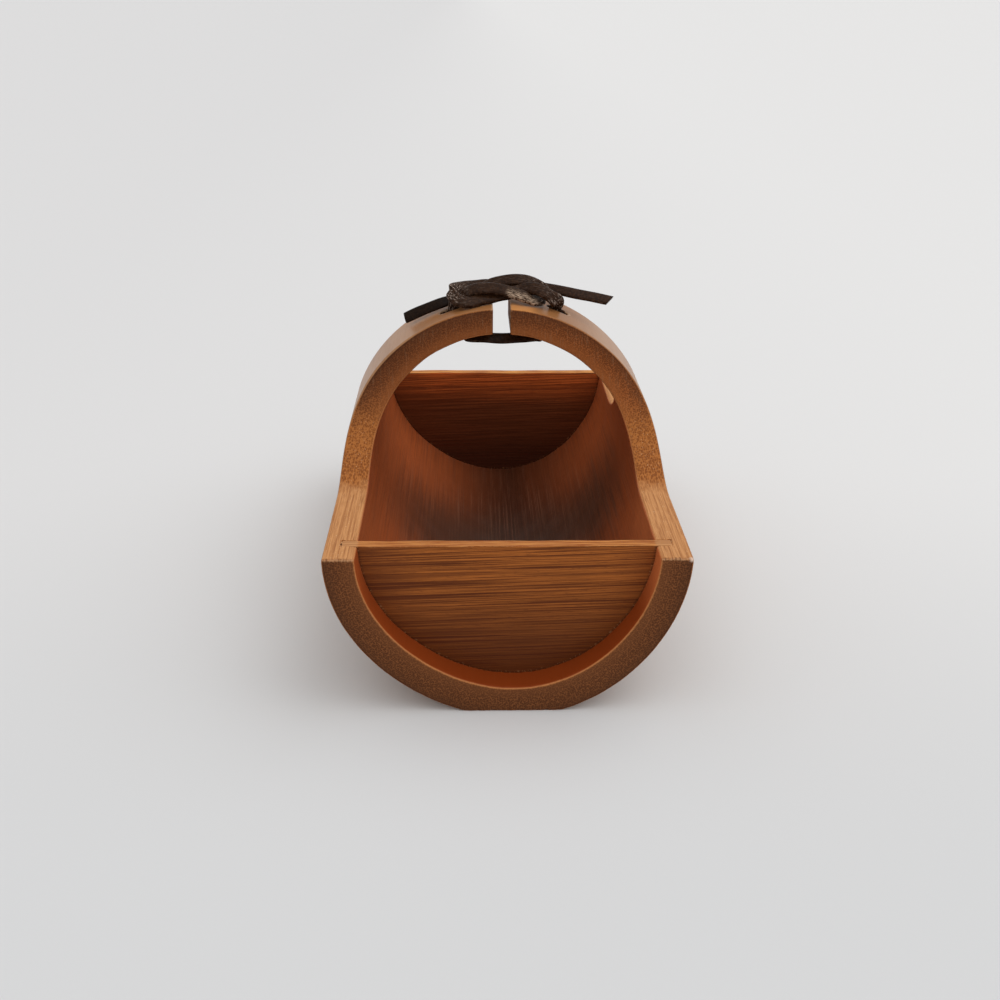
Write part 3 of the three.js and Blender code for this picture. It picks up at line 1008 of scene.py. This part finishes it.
def opening_color(g, color):
    """Slit and slots: painted shade inside them, and a darker band and pale chips along their
    edges.
    """
    in_slot = g.step(g.size(g.x), 5, 8)
    # Painted shade on the walls inside the slit and the slots, darkest in the slots
    inside = g.times(g.near(g.hole, g.hole, reach=0.3, raggedness=0.0), g.step(g.depth, 0.2, 0.6))
    inside_shade = g.mix(in_slot, SLIT_SHADE, SLOT_SHADE)
    color = g.over(color, inside_shade, inside, g.blend(in_slot, 0.6, 0.95))
    by_hole = g.near(g.hole, g.depth, reach=0.7, raggedness=0.6)
    # A darker band along the slots' edges
    dark_rim = g.times(by_hole, in_slot, g.step(g.x, *SLOT_DARK_RIM_SIDE))
    color = g.over(color, SLOT_DARK_RIM, dark_rim, amount=0.9)
    by_hole = g.near(g.hole, g.depth, reach=0.8, raggedness=2.4)
    chipped = g.plus(g.step(g.x, *SLOT_CHIPPED_SIDE), g.times(g.step(g.x, 4, 2), 0.5))
    return g.over(color, SLOT_CHIP, by_hole, chipped, amount=0.8)


def bamboo():
    """The culm: cut surfaces and their edges, skin, bore, and the marks that it carries."""
    g = CulmGraph()
    on_skin = g.step(g.depth, *JUST_UNDER)
    on_bore = g.step(g.height, *JUST_UNDER)
    color = edge_color(g, cut_color(g))
    color = g.mix(on_skin, color, skin_color(g))
    color = g.mix(on_bore, color, bore_color(g))
    color = opening_color(g, board_end_color(g, color))
    roughness = g.blend(on_skin, g.blend(on_bore, CUT_ROUGHNESS, BORE_ROUGHNESS), SKIN_ROUGHNESS)
    roughness = g.plus(roughness, g.times(g.minus(g.fine, 0.5), 0.15))
    coat = g.times(on_skin, g.blend(g.crown, COAT, CROWN_COAT))
    coat = g.plus(coat, g.times(on_bore, g.blend(g.ledge, COAT, LEDGE_COAT)))
    relief = g.blend(g.sweep, g.streaks, g.times(g.dots, 0.8))
    relief = g.times(relief, g.minus(1.0, on_skin), g.minus(1.0, g.times(on_bore, 0.7)))
    settings = {"Coat Weight": coat, "Coat Roughness": COAT_ROUGHNESS}
    normal = g.bump(relief, distance=0.12, strength=0.6)
    return g.finish(color, roughness, normal, BAMBOO_SPECULAR, settings)


# Boards: tones from the top down, which darken towards the foot as painted shade, and their marks
FRONT_BOARD_LIT_TO_SHADED = ((0.50, 0.150, 0.029), (0.155, 0.041, 0.0095))
REAR_BOARD_LIT_TO_SHADED = ((0.74, 0.158, 0.032), (0.180, 0.047, 0.015), (0.070, 0.019, 0.008))
GRAIN_TONES = ((0.08, 0.020, 0.005), (0.03, 0.006, 0.002))
BOARD_LINE = (0.080, 0.016, 0.005)
BOARD_PORE = (0.08, 0.022, 0.008)
# Painted shade towards the boards' ends
BOARD_ENDS_SHADE = (0.12, 0.030, 0.009)
JOINT = (0.06, 0.017, 0.006)
JOINT_DASH = (0.50, 0.26, 0.12)
TOP_DARK = (0.31, 0.086, 0.019)
TOP_PALE_TONES = ((0.57, 0.230, 0.062), (0.72, 0.31, 0.075))
END_TOP_TONES = ((0.38, 0.155, 0.055), (0.56, 0.27, 0.105))
WORN_EDGE = (0.55, 0.26, 0.10)
GRAIN_LEAN = 0.035
BOARD_ROUGHNESS = (0.42, 0.6)
BOARD_SPECULAR = 0.1


def board_top(g, x, y, height, rear):
    """The narrow top: grain in slow waves, and ends set off where they are let in."""
    wave = g.plus(y, g.times(g.math("SINE", g.times(x, 0.16)), 0.35))
    grain = g.noise(g.join(g.times(x, 0.05), wave, 0.0), scale=1.5, detail=3, roughness=0.6)
    top = g.mix(g.step(grain, 0.38, 0.62), TOP_DARK, g.mix(rear, *TOP_PALE_TONES))
    end_top = g.mix(g.step(grain, 0.35, 0.65), *END_TOP_TONES)
    return g.mix(g.step(height, -0.6, 0.5), top, end_top)


def board_wood():
    """Strips of bamboo laid across, so the grain runs from side to side."""
    g = Graph(bpy.data.materials.new("board_wood"))
    x, y, z = g.split(g.place())
    around, _, height = g.split(g.field("fibre"))
    up = g.split(g.normal())[2]
    lean = g.minus(z, g.times(x, GRAIN_LEAN))
    rear = g.step(y, -10, 10)
    vector = g.join(g.times(x, 0.010), g.times(y, 0.4), lean)
    fine = g.noise(vector, scale=3.2, detail=4, roughness=0.7)
    vector = g.join(g.times(x, 0.006), 0.0, lean)
    lines = g.noise(vector, scale=1.7, detail=3, roughness=0.65)
    bands = g.noise(vector, scale=0.25, detail=3, roughness=0.6)
    pores = g.noise(g.join(g.times(x, 0.10), y, lean), scale=3.2, detail=2)

    # Painted shade: each board darkens from its top down towards its foot
    front_tone = g.mix(g.step(z, 54, 12), *FRONT_BOARD_LIT_TO_SHADED)
    rear_top, rear_middle, rear_foot = REAR_BOARD_LIT_TO_SHADED
    rear_tone = g.mix(g.step(z, 57, 38), rear_top, rear_middle)
    rear_tone = g.mix(g.step(z, 38, 12), rear_tone, rear_foot)
    color = g.mix(rear, front_tone, rear_tone)
    grain_tone = g.mix(0.64, color, g.mix(rear, *GRAIN_TONES))
    color = g.mix(g.step(fine, 0.66, 0.36), color, grain_tone)
    dark_lines = g.times(g.step(lines, 0.51, 0.56), g.step(bands, 0.34, 0.52))
    color = g.over(color, BOARD_LINE, dark_lines, g.blend(rear, 0.8, 0.6))
    color = g.over(color, BOARD_PORE, g.step(pores, 0.60, 0.70), amount=0.4)
    # Painted shade: darker towards both ends of each board, where it meets the culm's wall
    sides = g.plus(g.times(g.step(x, -22, -48), 0.55), g.times(g.step(x, 30, 50), 0.4))
    color = g.mix(sides, color, BOARD_ENDS_SHADE)

    joint = g.times(g.step(height, 1.6, 0.3), g.step(height, -1.0, -0.2))
    color = g.over(color, JOINT, joint, amount=0.4)
    dashes = g.noise(g.join(around, 0.0, g.times(height, 0.6)), scale=1.1, detail=2)
    at_joint = g.times(g.step(height, 0.7, 0.3), g.step(height, -0.9, -0.3))
    color = g.over(color, JOINT_DASH, at_joint, g.step(dashes, 0.56, 0.66), amount=0.35)
    color = g.mix(g.step(up, 0.45, 0.85), color, board_top(g, x, y, height, rear))
    worn = g.step(g.noise(g.place(), scale=1.1, detail=3), 0.5, 0.62)
    top_edge = g.times(g.step(up, 0.15, 0.4), g.step(up, 0.95, 0.6))
    color = g.over(color, WORN_EDGE, top_edge, worn, amount=0.5)
    relief = g.minus(fine, g.times(dark_lines, 0.6))
    normal = g.bump(relief, distance=0.1, strength=0.6)
    return g.finish(color, g.blend(fine, *BOARD_ROUGHNESS), normal, BOARD_SPECULAR)


# Leather: its tones, and its marks
LEATHER_TONES = ((0.018, 0.0068, 0.0026), (0.046, 0.0195, 0.0085))
LEFT_TAIL_SHADE = (0.004, 0.0022, 0.0012)
LEFT_TAIL_SHADE_RUN = (26, 18)
# Partly real cracking and partly painted glints
CRACK_AND_GLINT = (0.56, 0.43, 0.35)
# Partly creases and partly painted highlight
CREASE_AND_HIGHLIGHT_LINE = (0.30, 0.21, 0.16)
FRAY = (0.56, 0.40, 0.28)
WORN_SIDE = (0.11, 0.06, 0.04)
LEATHER_ROUGHNESS = (0.3, 0.5)
LEATHER_SPECULAR = 0.04
LEATHER_COAT = 0.06
LEATHER_COAT_ROUGHNESS = 0.15


def leather():
    """Dark leather that is cracked at its bends and frayed pale along one stretch, with painted
    glints at its bends, painted highlight lines in the knot, and painted shade on the left tail.
    """
    g = Graph(bpy.data.materials.new("leather"))
    turn, run, wide = g.split(g.field("strap"))
    bend, frayed, in_knot = g.split(g.field("wear"))
    pits = g.noise(g.place(), scale=1.1, detail=4, roughness=0.6)
    vector = g.join(g.times(wide, 1.7), g.times(run, 0.55), g.times(turn, 2.0))
    cracks_and_glints = g.noise(vector, scale=1.6, detail=3, roughness=0.65)
    cracks_and_glints = g.times(g.step(cracks_and_glints, 0.54, 0.62), bend)
    vector = g.join(g.times(wide, 2.6), g.times(run, 0.22), turn)
    lines = g.step(g.noise(vector, scale=1.2, detail=2), 0.60, 0.66)
    vector = g.join(g.times(wide, 3.0), g.times(run, 0.35), 0.0)
    fibres = g.step(g.noise(vector, scale=1.3, detail=4, roughness=0.7), 0.44, 0.60)
    vector = g.join(g.times(wide, 2.2), g.times(run, 0.25), 0.0)
    creases = g.noise(vector, scale=1.0, detail=3, roughness=0.6)

    color = g.mix(g.step(pits, 0.35, 0.7), *LEATHER_TONES)
    # Painted shade on the left tail
    color = g.over(color, LEFT_TAIL_SHADE, g.step(run, *LEFT_TAIL_SHADE_RUN), amount=0.65)
    # Pale marks at the bends: partly real cracking, partly painted glints
    color = g.over(color, CRACK_AND_GLINT, cracks_and_glints, amount=0.9)
    # Pale lines along the knot's strands: partly creases, partly painted highlight
    color = g.over(color, CREASE_AND_HIGHLIGHT_LINE, lines, in_knot, amount=0.14)
    color = g.over(color, FRAY, fibres, frayed)
    at_side = g.step(g.size(wide), 1.75, 2.05)
    color = g.over(color, WORN_SIDE, at_side, g.step(pits, 0.5, 0.62), amount=0.4)
    relief = g.plus(g.minus(g.times(pits, 0.4), g.times(cracks_and_glints, 0.4)), creases)
    normal = g.bump(relief, distance=0.26)
    roughness = g.blend(bend, *LEATHER_ROUGHNESS)
    settings = {"Coat Weight": LEATHER_COAT, "Coat Roughness": LEATHER_COAT_ROUGHNESS}
    return g.finish(color, roughness, normal, LEATHER_SPECULAR, settings)


def dress(material, *pieces):
    for piece in pieces:
        piece.data.materials.clear()
        piece.data.materials.append(material)


# Floor: half its side, its tones from left to right and its tone near the front, which are
# painted light and shade, with the stretches over which they change
FLOOR_REACH = 21000
FLOOR_ACROSS = (-400, 400)
FLOOR_FORWARD = (120, -220)
FLOOR_LIT_TONES = ((0.72, 0.715, 0.715), (0.79, 0.785, 0.78))
FLOOR_NEAR_SHADE = (0.665, 0.67, 0.675)


def make_floor():
    """A wide, flat, pale table, with painted light that makes it a little brighter to the right
    and farther off, and painted shade near the front.
    """
    far = FLOOR_REACH * MM
    corners = [(-far, -far, 0), (far, -far, 0), (far, far, 0), (-far, far, 0)]
    mesh = bpy.data.meshes.new("floor")
    mesh.from_pydata(corners, [], [(0, 1, 2, 3)])
    floor = add_object("floor", mesh)
    g = Graph(bpy.data.materials.new("floor_paper"))
    x, y, _ = g.split(g.place())
    # Painted light towards the right and far off, painted shade towards the front
    color = g.mix(g.step(x, *FLOOR_ACROSS), *FLOOR_LIT_TONES)
    color = g.over(color, FLOOR_NEAR_SHADE, g.step(y, *FLOOR_FORWARD), amount=0.85)
    shader = g.node("BsdfDiffuse", {"Color": color})
    g.node("OutputMaterial", {0: shader.outputs[0]})
    dress(g.owner, floor)


# Far, soft lamps: azimuth from +Y towards +X, elevation and spread in degrees, and the share
# that each has of the light on the floor
LAMPS = (
    ("right_box", 80, 50, 70, 0.17),
    ("left_box", -80, 50, 70, 0.03),
    ("top_box", 0, 78, 80, 0.12),
    ("front_box", 165, 60, 80, 0.17),
)

# World: the light that it gives, and how bright it is where it is seen
WORLD_SHARE = 0.52
SEEN_SHARE = 0.74


def make_lamp(name, azimuth, elevation, spread, share):
    azimuth, elevation = math.radians(azimuth), math.radians(elevation)
    data = bpy.data.lights.new(name, "SUN")
    data.angle = math.radians(spread)
    data.energy = share * math.pi / math.sin(elevation)
    lamp = add_object(name, data)
    level = math.cos(elevation)
    place = Vector((
        level * math.sin(azimuth),
        level * math.cos(azimuth),
        math.sin(elevation),
    ))
    turn = place.to_track_quat("Z", "Y").to_matrix().to_4x4()
    lamp.matrix_world = Matrix.Translation(place) @ turn


def make_sky():
    """An even white, brighter where the camera sees it, or gloss or glass shows it."""
    world = bpy.data.worlds.new("world")
    bpy.context.scene.world = world
    g = Graph(world)
    rays = g.node("LightPath").outputs
    seen = rays["Is Camera Ray"]
    for kind in ("Is Glossy Ray", "Is Transmission Ray"):
        seen = g.math("MAXIMUM", seen, rays[kind])
    inputs = {"Value": seen, "To Min": WORLD_SHARE, "To Max": SEEN_SHARE}
    strength = g.node("MapRange", inputs).outputs[0]
    backdrop = g.node("Background", {"Color": (1, 1, 1), "Strength": strength})
    g.node("OutputWorld", {0: backdrop.outputs[0]})


make_camera()
culm = make_culm()
front_board = make_board("board_front", "front_board", -BOARD_PLACE)
rear_board = make_board("board_rear", "rear_board", BOARD_PLACE)
lace = make_lace()
dress(bamboo(), culm)
dress(board_wood(), front_board, rear_board)
dress(leather(), lace)
make_floor()
for lamp in LAMPS:
    make_lamp(*lamp)
make_sky()
bpy.context.scene.view_settings.view_transform = "Standard"
